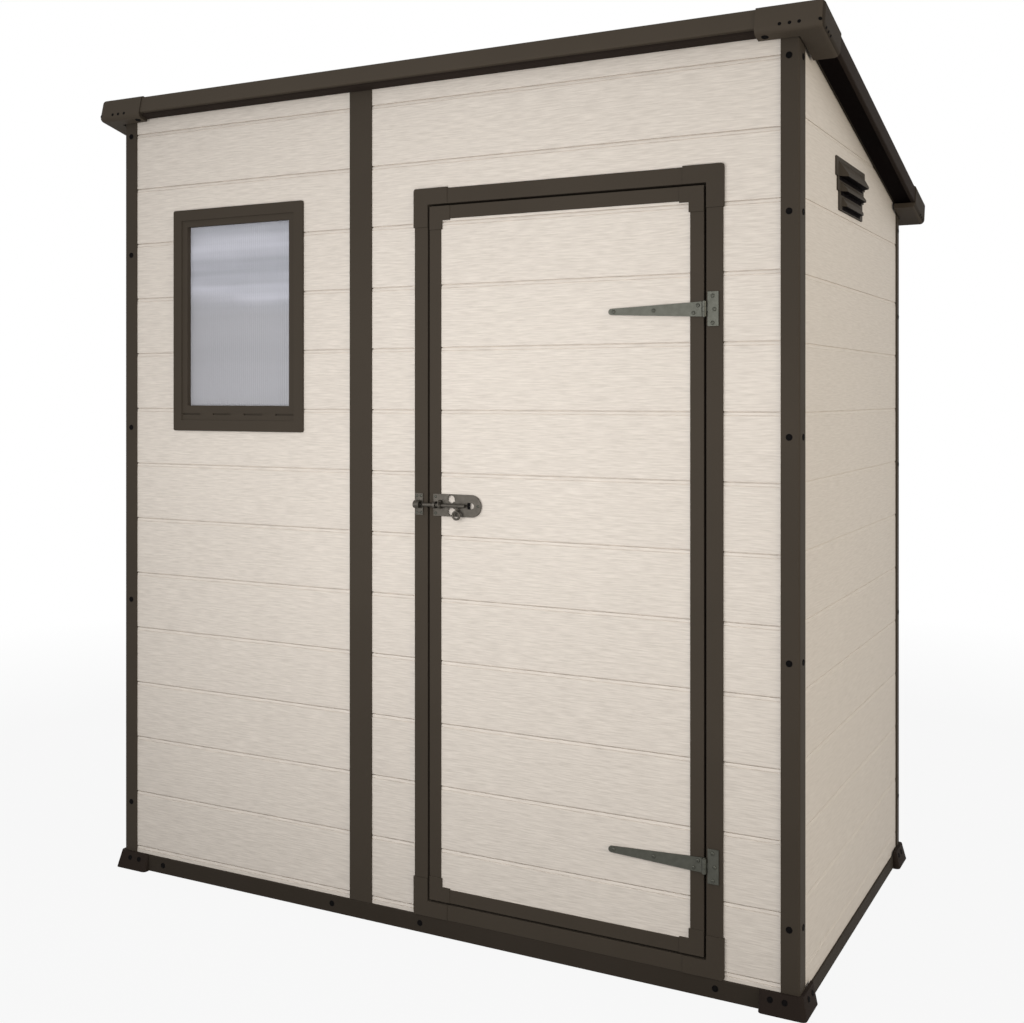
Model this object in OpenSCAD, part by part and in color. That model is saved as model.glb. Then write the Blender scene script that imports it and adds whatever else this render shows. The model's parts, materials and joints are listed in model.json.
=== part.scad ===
// Garden shed of moulded resin panels with a pent roof, sizes in millimetres.
// +Z is up, the front faces -Y, and the origin is under the middle of the roof, on the ground.

/* [Overall] */
// Width over the corner posts
shed_w = 1738; // [1600:1:2200]
// Depth over the corner posts
shed_d = 965; // [800:1:1600]
// Height of the roof's underside at the front face
front_h = 1898; // [1800:1:2200]
// Slope of the roof, falling to the back, in degrees
roof_pitch = 13.5; // [8:0.5:16]
// How far the roof stands out at each side
side_overhang = 55; // [40:1:90]
// How far the roof stands out at the front
front_overhang = 36; // [34:1:90]
// How far the roof stands out at the back
rear_overhang = 66; // [40:1:120]

/* [Posts and rails] */
// Face width of a corner post
post_w = 38; // [34:1:60]
// Depth of a front post's side face
post_return = 42; // [26:1:50]
// Depth of a rear post's side face
rear_return = 28; // [22:1:44]
// Thickness of a post's hidden inner leg
post_leg = 8; // [6:1:30]
// Face width of the middle posts
mid_post_w = 60; // [40:1:90]
// Depth of the middle posts
mid_post_d = 30; // [24:1:50]
// Place of the front middle post, from the middle of the shed
mid_post_x = -148; // [-200:1:-120]
// Height of the front and rear rails
rail_h = 40; // [34:1:60]
// Height of the side rails
side_rail_h = 32; // [24:1:34]
// Depth of the base rails
rail_d = 48; // [44:1:80]
// Length of each arm of a corner foot
foot_l = 96; // [60:1:120]
// Height of the corner feet
foot_h = 42; // [36:1:70]
// How far a foot stands out at the ground
foot_flare = 16; // [10:1:20]
// How far a foot stands out at its top
foot_lip = 7; // [3:1:9]

/* [Walls and floor] */
// Thickness of the twin-wall panels
wall_t = 18; // [12:1:26]
// How far the panels lie behind the posts' faces
wall_recess = 4; // [1:1:8]
// Thickness of the floor panel
floor_t = 22; // [15:1:30]

/* [Door] */
// Middle of the doorway, from the middle of the shed
door_x = 357; // [340:1:380]
// Width over the door surround
surround_w = 716; // [640:1:740]
// Drop from the roof's underside to the top of the door surround and of the window
head_drop = 242; // [200:1:320]
// Face width of the door surround
surround_face = 34; // [28:1:45]
// How far the surround stands out from the panels
surround_proud = 5; // [2:1:8]
// Length of each arm of the surround's corner pieces
surround_corner = 84; // [60:1:120]
// How far the corner pieces reach past the surround's outer edge
corner_out = 2.5; // [1:0.5:4]
// Rounding of the corner pieces' outer corners
corner_round = 6; // [4:1:10]
// Running gap round the door leaf
door_gap = 5; // [5:0.5:8]
// Thickness of the door leaf
leaf_t = 24; // [20:1:32]
// Face width of the leaf's frame
leaf_face = 29; // [26:1:45]
// How far the leaf's corner pieces reach past the inner corner
leaf_corner = 23; // [15:1:40]
// How far the door panel lies behind its frame
panel_recess = 2.5; // [1:0.5:5]
// Thickness of the door panel
panel_t = 16; // [10:1:18]
// Width of the stop that the leaf closes against
stop_w = 12; // [8:1:20]
// Thickness of the stop
stop_t = 8; // [5:1:12]

/* [Window] */
// Middle of the window, from the middle of the shed
window_x = -508; // [-530:1:-480]
// Width over the window frame
window_w = 396; // [300:1:440]
// Height over the window frame
window_h = 545; // [400:1:700]
// Face width of the sides and top of the frame
window_face = 42; // [34:1:60]
// Face height of the frame's bottom member, with its clips
window_sill = 62; // [50:1:80]
// Width of the frame's flat outer flange
window_flange = 30; // [24:1:32]
// Rounding of the frame's outer corners
window_round = 5; // [3:1:10]
// How far the flange stands out from the panel
window_proud = 6; // [4:0.5:8]
// How far the sash inside the flange stands out from the panel
window_sash = 2.5; // [1:0.5:3.5]
// Number of clip slots in the bottom member
clip_n = 4; // [2:1:6]
// Length of a clip slot
clip_l = 56; // [40:1:60]
// Height of the clip slots above the frame's bottom edge
clip_z = 41; // [36:1:46]
// Wall of the sleeve that passes through the panel
sleeve_t = 4; // [3:1:6]
// Thickness of the pane
pane_t = 4; // [3:1:6]
// How deep the pane lies behind the panel's face
pane_depth = 10; // [6:1:12]

/* [Vents] */
// Drop from the roof's underside to the top of the vents, at their middle
vent_drop = 84; // [76:1:150]
// Height of one louvre
louvre_h = 38; // [28:1:45]
// Number of louvres in a vent
louvre_n = 3; // [2:1:4]
// Width of the widest, top louvre
vent_w = 274; // [200:1:320]
// How much narrower each louvre is than the one above
louvre_step = 32; // [10:1:36]
// Middle of the vents, behind the posts' front face
vent_y = 433; // [300:1:440]
// How far the top louvre's hood stands out
hood_out = 16; // [10:1:24]
// Thickness of the vent's plate and hoods
vent_t = 3; // [2:0.5:4]

/* [Hinges] */
// Drop from the top of the leaf to the upper hinge
hinge_drop = 247; // [150:1:350]
// Rise from the bottom of the leaf to the lower hinge
hinge_rise = 184; // [120:1:320]
// Length of the strap from its tip to the pin
strap_l = 208; // [150:1:260]
// Width of the strap at its root
strap_root = 30; // [26:1:36]
// Width of the strap at its tip
strap_tip = 13; // [10:1:18]
// Width of the plate on the surround
plate_w = 23; // [18:1:24]
// Height of the plate on the surround
plate_h = 69; // [50:1:90]
// Thickness of the hinge metal
hinge_t = 3; // [2:0.5:4]
// Radius of the knuckle
knuckle_r = 5; // [4.5:0.1:5.5]
// Radius of the hinge pin
pin_r = 2.5; // [1.5:0.1:2.8]

/* [Latch] */
// Height of the latch above the ground
latch_z = 956; // [800:1:1100]
// Length of the latch plate
latch_l = 121; // [100:1:150]
// Height of the latch plate
latch_h = 49; // [40:1:56]
// Thickness of the latch plate
latch_t = 2.5; // [2:0.5:4]
// Gap from the leaf's edge to the latch plate
latch_inset = 11; // [8:1:16]
// Radius of the bolt
bolt_r = 4; // [3:0.5:5]
// Length of the bolt
bolt_l = 106; // [90:1:120]
// How far the bolt slides
bolt_travel = 33; // [26:1:34]
// Distance of the bolt's middle from the latch plate
bolt_out = 8; // [7.5:0.5:10]
// Width of each guide that the bolt slides in
guide_w = 6; // [4:0.5:7]
// Wall of the guides and of the keeper's loop
guide_t = 3; // [2:0.5:4]
// Outer radius of the padlock eye
eye_r = 11; // [9:1:13]
// Radius of the eye's wire
eye_wire = 2.5; // [2:0.1:2.6]
// Width of the keeper's tabs
keeper_w = 20; // [16:1:22]
// Height over the keeper's tabs
keeper_h = 48; // [44:1:60]

/* [Roof] */
// Height of the roof's edge channels
edge_h = 42; // [34:1:56]
// Rounding of the edge's top corner
edge_r = 6; // [4:1:7]
// Depth of the channels over the roof panels
edge_top = 45; // [35:1:60]
// Thickness of the channels' skin
edge_t = 3; // [2:0.5:4]
// Height of the lip under the channels' outer edge
lip_h = 4; // [3:0.5:6]
// Width of that lip
lip_w = 9; // [6:1:14]
// How far the front and rear soffits lie below that lip, between the caps
soffit_drop = 6; // [3:0.5:8]
// Length of each arm of the corner caps
cap_l = 135; // [110:1:180]
// Skin of the corner caps outside the channels
cap_t = 2.5; // [2:0.5:4]
// Rounding of the caps' outer corner and bottom edges
cap_r = 12; // [9:1:14]
// Rounding of the caps' top edges
cap_top_r = 8; // [7:1:9]
// How far the caps reach below the channels
cap_drop = 10; // [6:0.5:12]
// Width of a rib on the roof panels
rib_w = 70; // [40:1:90]
// Height of a rib on the roof panels
rib_h = 4; // [2:0.5:6]
// Number of ribs on each roof panel
rib_n = 5; // [3:1:6]
// Width of the strip that covers the roof joint
strip_w = 60; // [40:1:80]
// Width of the roof beam
beam_w = 44; // [30:1:60]
// Height of the roof beam
beam_h = 36; // [25:1:60]

/* [Fits] */
// Gap between fixed pieces that are fitted into each other
fit = 0.2; // [0.1:0.05:0.4]
// Gap between the soffit and the walls
soffit_gap = 2; // [1:0.5:4]
// Running clearance of the hinge pins
pin_fit = 0.05; // [0.02:0.01:0.1]
// Running clearance of the bolt in its guides
bolt_fit = 0.3; // [0.3:0.05:0.6]
// Clearance of the bolt in the keeper
keeper_fit = 1.5; // [1:0.1:2]

/* [Hidden] */
$fn = 40;
far = 4000;
resin_beige = "#d9cfc0";
resin_brown = "#463e36";
zinc = "#74766f";
pane_grey = "#b4b4ba";

// Plan of the body: x1 and y0, y1 are the posts' outer faces
cap_h = edge_h + 2 * cap_t;
roof_w = shed_w + 2 * side_overhang;
roof_d = shed_d + front_overhang + rear_overhang;
x1 = shed_w / 2;
y0 = -roof_d / 2 + front_overhang;
y1 = y0 + shed_d;
wall_y0 = y0 + wall_recess;
wall_y1 = y1 - wall_recess;
wall_x1 = x1 - wall_recess;
head_h = front_h - head_drop;
vent_top = front_h - vent_y * tan(roof_pitch) - vent_drop;

// Roof, in its own tilted frame: s runs down the slope from the front edge, n is square to it
c_roof = cos(roof_pitch);
s_roof = sin(roof_pitch);
turn_in = c_roof + s_roof - 1;
front_in = cap_r * turn_in - cap_drop * s_roof;
front_reach = front_overhang + front_in;
slope_l = (roof_d + front_in - cap_h * s_roof + cap_top_r * turn_in) / c_roof;
front_s = (front_reach - cap_t * s_roof) / c_roof;
roof_z0 = front_h + front_s * s_roof - cap_t * c_roof;
edge_x1 = roof_w / 2 - cap_t;
edge_s0 = cap_t;
edge_s1 = slope_l - cap_t;
soffit_front = (front_reach - soffit_gap - (cap_t + lip_h + edge_t) * s_roof) / c_roof - cap_t;
soffit_rear = slope_l - cap_t - (front_reach + shed_d + soffit_gap + cap_drop * s_roof) / c_roof;
soffit_side = side_overhang - soffit_gap - cap_t;
seat_n = cap_t + lip_h + edge_t + fit;
panel_top_n = cap_t + edge_h - edge_t - fit;
joint_web = 3;

// Door, from the surround's outer corner inwards to the leaf
sur_y = wall_y0 - surround_proud;
sur_x0 = door_x - surround_w / 2;
sur_x1 = door_x + surround_w / 2;
way_x0 = sur_x0 + surround_face;
way_x1 = sur_x1 - surround_face;
way_z0 = rail_h + surround_face;
way_z1 = head_h - surround_face;
leaf_x0 = way_x0 + door_gap;
leaf_x1 = way_x1 - door_gap;
leaf_z0 = way_z0 + door_gap;
leaf_z1 = way_z1 - door_gap;
stop_y = sur_y + leaf_t + door_gap;
corner_proud = 1;
corner_lip = 3;

// Hinges and latch, on the faces of the leaf and the surround
pin_x = (leaf_x1 + way_x1) / 2;
pin_y = sur_y - knuckle_r - 0.5;
knuckle_gap = 0.3;
plate_x0 = pin_x + knuckle_r + 1;
strap_x1 = pin_x - knuckle_r - 1.5;
hinge_z = [leaf_z1 - hinge_drop, leaf_z0 + hinge_rise];
latch_x0 = leaf_x0 + latch_inset;
latch_y = sur_y - latch_t;
bolt_y = latch_y - bolt_out;
keeper_x0 = sur_x0 + 3;
keeper_x1 = keeper_x0 + keeper_w;
bolt_tip = keeper_x1 + 6;
guide_x = [latch_x0 + 5, latch_x0 + 19];
eye_gap = 2.5;
eye_x = guide_x[1] + guide_w + eye_gap + eye_wire + bolt_travel;

// Box from its lowest to its highest corner
module block(low, high) {
    translate(low) cube(high - low);
}

// Puts pieces into the roof's tilted frame
module on_roof() {
    translate([0, -roof_d / 2 - front_in, roof_z0]) rotate([-roof_pitch, 0, 0]) children();
}

// Cuts the tops of posts and walls to the underside of the roof panels
module under_roof() {
    difference() {
        children();
        on_roof() translate([-far / 2, -far / 2, seat_n - fit]) cube(far);
    }
}

// Repeats a piece on the left and the right
module both_sides() {
    children();
    mirror([1, 0, 0]) children();
}

// Rectangle from its lowest to its highest corner, with rounded corners
module round_rect(low, high, r) {
    size = high - low;
    translate(low + [r, 0]) square([size.x - 2 * r, size.y]);
    translate(low + [0, r]) square([size.x, size.y - 2 * r]);
    for (x = [low.x + r, high.x - r], y = [low.y + r, high.y - r]) translate([x, y]) circle(r);
}

// Extrudes an outline drawn in x and z, from the face at y outwards by t
module face_plate(y, t) {
    translate([0, y, 0]) rotate([90, 0, 0]) linear_extrude(t) children();
}

// Base

module floor_panel() {
    color(resin_brown)
    block([-x1 + rail_d, y0 + rail_d, 0], [x1 - rail_d, y1 - rail_d, floor_t]);
}

module front_rail() {
    color(resin_brown) block([-x1, y0, 0], [x1, y0 + rail_d, rail_h]);
}

module rear_rail() {
    color(resin_brown) block([-x1, y1 - rail_d, 0], [x1, y1, rail_h]);
}

module side_rails() {
    color(resin_brown) both_sides()
    block([x1 - rail_d, y0 + rail_d, 0], [x1, y1 - rail_d, side_rail_h]);
}

// Flared bracket round the outside of one corner, with the corner at the origin
module foot() {
    round_r = 9;
    skin = 1;
    difference() {
        hull() {
            for (level = [[0, foot_flare], [foot_h - skin, foot_lip]])
                for (corner = [[-1, -1], [-1, 1], [1, -1], [1, 1]])
                    translate([
                        (foot_flare - foot_l / 2) + corner.x * (foot_l / 2 - round_r)
                            - (corner.x > 0 ? foot_flare - level[1] : 0),
                        (foot_l / 2 - foot_flare) + corner.y * (foot_l / 2 - round_r)
                            + (corner.y < 0 ? foot_flare - level[1] : 0),
                        level[0]])
                    cylinder(r = round_r, h = skin, $fn = 32);
        }
        block([-far, -fit, -1], [fit, far, foot_h + 1]);
    }
}

module corner_feet() {
    color(resin_brown) both_sides() {
        translate([x1, y0, 0]) foot();
        translate([x1, y1, 0]) mirror([0, 1, 0]) foot();
    }
}

// Posts

// L-section bar with a rounded outer corner
module front_post() {
    round_r = 5;
    under_roof() translate([0, 0, rail_h]) linear_extrude(far) {
        difference() {
            translate([x1 - post_w, y0]) square([post_w, post_return]);
            translate([x1 - round_r, y0]) square(round_r);
        }
        translate([x1 - round_r, y0 + round_r]) circle(round_r);
        translate([x1 - post_w, y0 + post_return])
        square([post_w - wall_recess - wall_t, post_leg]);
    }
}

module rear_post() {
    round_r = 5;
    under_roof() translate([0, 0, rail_h]) linear_extrude(far) {
        difference() {
            translate([x1 - post_w, y1 - rear_return]) square([post_w, rear_return]);
            translate([x1 - round_r, y1 - round_r]) square(round_r);
        }
        translate([x1 - round_r, y1 - round_r]) circle(round_r);
    }
}

module front_post_left() { color(resin_brown) mirror([1, 0, 0]) front_post(); }
module front_post_right() { color(resin_brown) front_post(); }
module rear_post_left() { color(resin_brown) mirror([1, 0, 0]) rear_post(); }
module rear_post_right() { color(resin_brown) rear_post(); }

module front_middle_post() {
    color(resin_brown) under_roof()
    block([mid_post_x - mid_post_w / 2, y0, rail_h],
          [mid_post_x + mid_post_w / 2, y0 + mid_post_d, far]);
}

module rear_middle_post() {
    color(resin_brown) under_roof()
    block([-mid_post_w / 2, y1 - mid_post_d, rail_h], [mid_post_w / 2, y1, far]);
}

// Walls

// Stretch of the front wall between two places, from a height up to the roof
module front_wall(from_x, to_x, from_z) {
    under_roof() block([from_x, wall_y0, from_z], [to_x, wall_y0 + wall_t, far]);
}

module window_wall() {
    color(resin_beige) difference() {
        front_wall(-x1 + post_w, mid_post_x - mid_post_w / 2, rail_h);
        translate([0, wall_y0 + wall_t + 1, 0]) rotate([90, 0, 0])
        linear_extrude(wall_t + 2) window_rect(window_flange - sleeve_t - fit);
    }
}

module latch_side_wall() {
    color(resin_beige) front_wall(mid_post_x + mid_post_w / 2, sur_x0, rail_h);
}

module hinge_side_wall() {
    color(resin_beige) front_wall(sur_x1, x1 - post_w, rail_h);
}

module over_door_wall() {
    color(resin_beige) front_wall(sur_x0, sur_x1, head_h);
}

// Side wall with the hole behind its vent, notched over the ends of the front and rear rails
module side_wall() {
    vent_rim = 12;
    hole_w = vent_w - (louvre_n - 1) * louvre_step - 2 * vent_rim;
    color(resin_beige) difference() {
        under_roof()
        block([wall_x1 - wall_t, y0 + post_return, side_rail_h], [wall_x1, y1 - rear_return, far]);
        for (y = [y0, y1 - rail_d]) block([0, y - 1, 0], [far, y + rail_d + (y > 0 ? 1 : 0), rail_h]);
        block([wall_x1 - wall_t - 1, y0 + vent_y - hole_w / 2, vent_top - louvre_n * louvre_h + vent_rim],
              [wall_x1 + 1, y0 + vent_y + hole_w / 2, vent_top - vent_rim]);
    }
}

module left_wall() { mirror([1, 0, 0]) side_wall(); }
module right_wall() { side_wall(); }

module rear_wall(from_x, to_x) {
    color(resin_beige) under_roof()
    block([from_x, wall_y1 - wall_t, rail_h], [to_x, wall_y1, far]);
}

module rear_wall_left() { rear_wall(-x1 + post_w, -mid_post_w / 2); }
module rear_wall_right() { rear_wall(mid_post_w / 2, x1 - post_w); }

// Window

// Outline of the window, drawn in by the same margin all round
module window_rect(margin) {
    translate([window_x - window_w / 2 + margin, head_h - window_h + margin])
    square([window_w - 2 * margin, window_h - 2 * margin]);
}

// Outline of the clear opening, above the deeper bottom member
module window_light() {
    translate([window_x - window_w / 2 + window_face, head_h - window_h + window_sill])
    square([window_w - 2 * window_face, window_h - window_face - window_sill]);
}

// Flange and sleeve round the hole, and the sash a step lower, with clip slots in its bottom member
module window_frame() {
    corner = [window_x - window_w / 2, head_h - window_h];
    clip_h = 4;
    clip_t = 5;
    clip_pitch = (window_w - 2 * window_flange + clip_l) / (clip_n + 0.1);
    color(resin_brown) difference() {
        union() {
            face_plate(wall_y0, window_proud) difference() {
                round_rect(corner, corner + [window_w, window_h], window_round);
                window_rect(window_flange - sleeve_t);
            }
            face_plate(wall_y0 + pane_depth, window_sash + pane_depth) difference() {
                window_rect(window_flange - sleeve_t);
                window_light();
            }
            face_plate(wall_y0 + wall_t, wall_t - pane_depth) difference() {
                window_rect(window_flange - sleeve_t);
                window_rect(window_flange);
            }
        }
        for (i = [0 : clip_n - 1])
            translate([window_x + (i - (clip_n - 1) / 2) * clip_pitch,
                       wall_y0 - window_sash, corner.y + clip_z])
            cube([clip_l, 2 * clip_t, clip_h], center = true);
    }
}

module window_pane() {
    color(pane_grey) face_plate(wall_y0 + pane_depth + pane_t, pane_t)
    window_rect(window_flange + fit);
}

// Vents

// One stepped louvre vent on the right wall: each louvre has a hood over its slot, the lower ones shallower
module wall_vent() {
    root = louvre_h * 4 / 9;
    slot_h = louvre_h / 5;
    hood_inset = 14;
    for (i = [0 : louvre_n - 1]) {
        half = vent_w / 2 - i * louvre_step / 2;
        high = vent_top - i * louvre_h;
        low = high - louvre_h;
        out = hood_out * (1 - i / (louvre_n + 1));
        translate([wall_x1, y0 + vent_y, 0]) {
            difference() {
                block([0, -half, low], [vent_t, half, high]);
                block([-1, -half + 2 * hood_inset, low + root - slot_h],
                      [vent_t + 1, half - 2 * hood_inset, low + root]);
            }
            translate([0, half - hood_inset, 0]) rotate([90, 0, 0])
            linear_extrude(2 * (half - hood_inset)) polygon([
                [vent_t, high - louvre_h / 4],
                [out, low + louvre_h / 3],
                [out, low + louvre_h / 6],
                [vent_t, low + root]]);
        }
    }
}

module wall_vents() { color(resin_brown) both_sides() wall_vent(); }

// Door surround

// Frame round the doorway from the face at front_y back to the stop behind the leaf
module surround_ring(front_y) {
    difference() {
        block([sur_x0, front_y, rail_h], [sur_x1, stop_y + stop_t, head_h]);
        block([way_x0, front_y - 1, way_z0], [way_x1, stop_y, way_z1]);
        block([way_x0 + stop_w, front_y, way_z0 + stop_w], [way_x1 - stop_w, far, way_z1 - stop_w]);
    }
}

// Keeps what lies inside a rectangle of x and z
module within(low, high) {
    intersection() {
        children();
        block([low.x, -far, low.y], [high.x, far, high.y]);
    }
}

module latch_jamb() {
    color(resin_brown) within([sur_x0, rail_h + surround_corner], [door_x, head_h - surround_corner])
    surround_ring(sur_y);
}

module hinge_jamb() {
    color(resin_brown) within([door_x, rail_h + surround_corner], [sur_x1, head_h - surround_corner])
    surround_ring(sur_y);
}

module door_head() {
    color(resin_brown)
    within([sur_x0 + surround_corner, head_h - surround_corner], [sur_x1 - surround_corner, head_h])
    surround_ring(sur_y);
}

module door_threshold() {
    color(resin_brown)
    within([sur_x0 + surround_corner, rail_h], [sur_x1 - surround_corner, rail_h + surround_corner])
    surround_ring(sur_y);
}

// Corner pieces with rounded fronts that lap over the walls
module surround_corners() {
    lap_y = wall_y0 - fit;
    arm = surround_corner + corner_out;
    color(resin_brown)
    for (x = [sur_x0 - corner_out, sur_x1 - surround_corner], z = [rail_h, head_h - surround_corner])
        within([x, z], [x + arm, z + (z > rail_h ? arm : surround_corner)]) {
            surround_ring(lap_y);
            face_plate(lap_y, lap_y - sur_y + corner_proud) difference() {
                round_rect([sur_x0 - corner_out, rail_h],
                           [sur_x1 + corner_out, head_h + corner_out], corner_round);
                translate([way_x0, way_z0]) square([way_x1 - way_x0, way_z1 - way_z0]);
            }
        }
}

// Door leaf

// Frame of the leaf, all round the panel
module leaf_ring() {
    difference() {
        block([leaf_x0, sur_y, leaf_z0], [leaf_x1, sur_y + leaf_t, leaf_z1]);
        block([leaf_x0 + leaf_face, -far, leaf_z0 + leaf_face],
              [leaf_x1 - leaf_face, far, leaf_z1 - leaf_face]);
    }
}

leaf_arm = leaf_face + leaf_corner;

module latch_stile() {
    color(resin_brown) within([leaf_x0, leaf_z0 + leaf_arm], [door_x, leaf_z1 - leaf_arm]) leaf_ring();
}

module hinge_stile() {
    color(resin_brown) within([door_x, leaf_z0 + leaf_arm], [leaf_x1, leaf_z1 - leaf_arm]) leaf_ring();
}

module door_rails() {
    color(resin_brown) for (z = [leaf_z0, leaf_z1 - leaf_arm])
        within([leaf_x0 + leaf_arm, z], [leaf_x1 - leaf_arm, z + leaf_arm]) leaf_ring();
}

// L-shaped corner of the leaf with a lip over the panel, its outer corner at the origin
module leaf_corner_piece() {
    difference() {
        block([0, -corner_proud, 0], [leaf_arm, leaf_t, leaf_arm]);
        block([leaf_face, panel_recess - fit, leaf_face], [far, far, far]);
        block([leaf_face + corner_lip, -far, leaf_face + corner_lip], [far, far, far]);
    }
}

module door_corners() {
    color(resin_brown) translate([(leaf_x0 + leaf_x1) / 2, sur_y, (leaf_z0 + leaf_z1) / 2])
    both_sides() for (flip = [0, 1]) mirror([0, 0, flip])
        translate([(leaf_x0 - leaf_x1) / 2, 0, (leaf_z0 - leaf_z1) / 2]) leaf_corner_piece();
}

module door_panel() {
    color(resin_beige) block(
        [leaf_x0 + leaf_face, sur_y + panel_recess, leaf_z0 + leaf_face],
        [leaf_x1 - leaf_face, sur_y + panel_recess + panel_t, leaf_z1 - leaf_face]);
}

// Hinges

knuckle_h = strap_root / 3;

// Plate on the surround with the middle knuckle and the pin
module hinge_plate() {
    tab_h = knuckle_h - 2 * knuckle_gap;
    face_plate(sur_y, hinge_t) translate([plate_x0, -plate_h / 2]) square([plate_w, plate_h]);
    block([pin_x, sur_y - hinge_t, -tab_h / 2], [plate_x0 + 1, sur_y, tab_h / 2]);
    translate([pin_x, pin_y, 0]) {
        cylinder(r = knuckle_r, h = tab_h, center = true);
        cylinder(r = pin_r, h = strap_root + hinge_t, center = true);
    }
}

// Tapered strap on the leaf with the two outer knuckles
module hinge_strap() {
    tip_r = strap_tip / 2;
    tip_x = pin_x - strap_l + tip_r;
    face_plate(sur_y, hinge_t) {
        polygon([[tip_x, -tip_r], [strap_x1, -strap_root / 2],
                 [strap_x1, strap_root / 2], [tip_x, tip_r]]);
        translate([tip_x, 0]) circle(tip_r);
    }
    for (side = [-1, 1]) translate([pin_x, pin_y, side * knuckle_h]) difference() {
        union() {
            cylinder(r = knuckle_r, h = knuckle_h, center = true);
            block([strap_x1 - pin_x - 1, sur_y - hinge_t - pin_y, -knuckle_h / 2],
                  [0, sur_y - pin_y, knuckle_h / 2]);
        }
        cylinder(r = pin_r + pin_fit, h = 2 * knuckle_h, center = true);
    }
}

module hinge_plates() {
    color(zinc) for (z = hinge_z) translate([0, 0, z]) hinge_plate();
}

module hinge_straps() {
    color(zinc) for (z = hinge_z) translate([0, 0, z]) hinge_strap();
}

// Latch

// Staple that the bolt passes through, from a face at y, with a bore of radius r
module staple(face_y, width, r) {
    outer = r + guide_t;
    difference() {
        union() {
            translate([0, bolt_y, 0]) rotate([0, 90, 0]) cylinder(r = outer, h = width);
            block([0, bolt_y, -outer], [width, face_y, outer]);
        }
        translate([-1, bolt_y, 0]) rotate([0, 90, 0]) cylinder(r = r, h = width + 2);
    }
}

// Drop-shaped cut-out, its point towards +x
module drop(r) {
    circle(r);
    rotate(-45) square(0.9 * r);
}

module latch_plate() {
    end_r = latch_h / 2;
    drop_r = 8.5;
    drop_out = 13.5;
    drop_turn = 25;
    padlock_r = 6.5;
    color(zinc) translate([latch_x0, 0, latch_z]) {
        face_plate(sur_y, latch_t) difference() {
            union() {
                translate([0, -end_r]) square([latch_l - end_r, latch_h]);
                translate([latch_l - end_r, 0]) circle(end_r);
            }
            for (side = [-1, 1]) translate([latch_l * 0.38, side * drop_out])
            rotate(-side * drop_turn) drop(drop_r);
            translate([latch_l - end_r, 0]) circle(padlock_r);
        }
        for (x = guide_x) translate([x - latch_x0, 0, 0])
            staple(latch_y, guide_w, bolt_r + bolt_fit);
    }
}

module latch_keeper() {
    color(zinc) translate([keeper_x0, 0, latch_z]) {
        loop_r = bolt_r + keeper_fit;
        loop_w = keeper_w - 6;
        face_plate(sur_y, latch_t) translate([0, -keeper_h / 2]) square([keeper_w, keeper_h]);
        translate([(keeper_w - loop_w) / 2, 0, 0]) staple(latch_y, loop_w, loop_r);
    }
}

module latch_bolt() {
    eye_z = -bolt_r - eye_r - 6;
    color(zinc) translate([0, bolt_y, latch_z]) {
        translate([bolt_tip, 0, 0]) rotate([0, 90, 0]) cylinder(r = bolt_r, h = bolt_l);
        translate([eye_x, 0, eye_z]) {
            rotate([90, 0, 0]) rotate_extrude($fn = 32)
            translate([eye_r - eye_wire, 0]) circle(eye_wire, $fn = 20);
            translate([0, 0, eye_r - eye_wire]) cylinder(r = eye_wire, h = -eye_z - eye_r + eye_wire);
        }
    }
}

// Roof

// Section of an edge channel: web, rounded top corner, top flange, and a soffit flange on a lip.
// lift is how far the soffit's underside lies above the lip.
module edge_section(soffit, lift) {
    lip_r = 3;
    seat = lip_h + edge_t;
    difference() {
        union() {
            translate([0, lip_r]) square([edge_t + edge_r, edge_h - edge_r - lip_r]);
            translate([edge_r, edge_h - edge_r]) circle(edge_r);
            translate([edge_r, edge_h - edge_r]) square([edge_top - edge_r, edge_r]);
            translate([lip_r, lip_r]) circle(lip_r);
            translate([lip_r, 0]) square([lip_w - lip_r, seat]);
        }
        translate([edge_t, seat]) square([far, edge_h - seat - edge_t]);
    }
    translate([lip_r, lift]) square([soffit - lip_r, seat - lift]);
}

// Channel across the roof, along x, at the front edge of the tilted frame.
// It ends inside the caps, where their rounding starts, and its soffit is lower between them.
module cross_edge(soffit) {
    half = edge_x1 - (cap_r - cap_t);
    between = roof_w / 2 - cap_l - 1;
    translate([-half, edge_s0, cap_t]) rotate([90, 0, 90])
    linear_extrude(2 * half) edge_section(soffit, 0);
    translate([-between, edge_s0, cap_t]) rotate([90, 0, 90])
    linear_extrude(2 * between) translate([lip_w, -soffit_drop]) square([soffit - lip_w, soffit_drop + lip_h]);
}

module roof_front_edge() {
    color(resin_brown) on_roof() cross_edge(soffit_front);
}

module roof_rear_edge() {
    color(resin_brown) on_roof()
    translate([0, slope_l, 0]) mirror([0, 1, 0]) cross_edge(soffit_rear);
}

module roof_side_edges() {
    from_s = edge_s0 + max(edge_top, soffit_front) + fit;
    to_s = edge_s1 - max(edge_top, soffit_rear) - fit;
    color(resin_brown) on_roof() both_sides()
    translate([-edge_x1, to_s, cap_t]) rotate([90, 0, 0])
    linear_extrude(to_s - from_s) edge_section(soffit_side, lip_h);
}

// Section of a block with its outer edges rounded, by radius top above and radius low below
module round_section(l, h, top, low) {
    translate([0, low]) square([l, h - top - low]);
    translate([top, h - top]) square([l - top, top]);
    intersection() {
        translate([top, h - top]) circle(top);
        translate([0, h - top]) square(top);
    }
    if (low > 0) {
        translate([low, 0]) square([l - low, low]);
        intersection() {
            translate([low, low]) circle(low);
            square(low);
        }
    }
}

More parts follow.
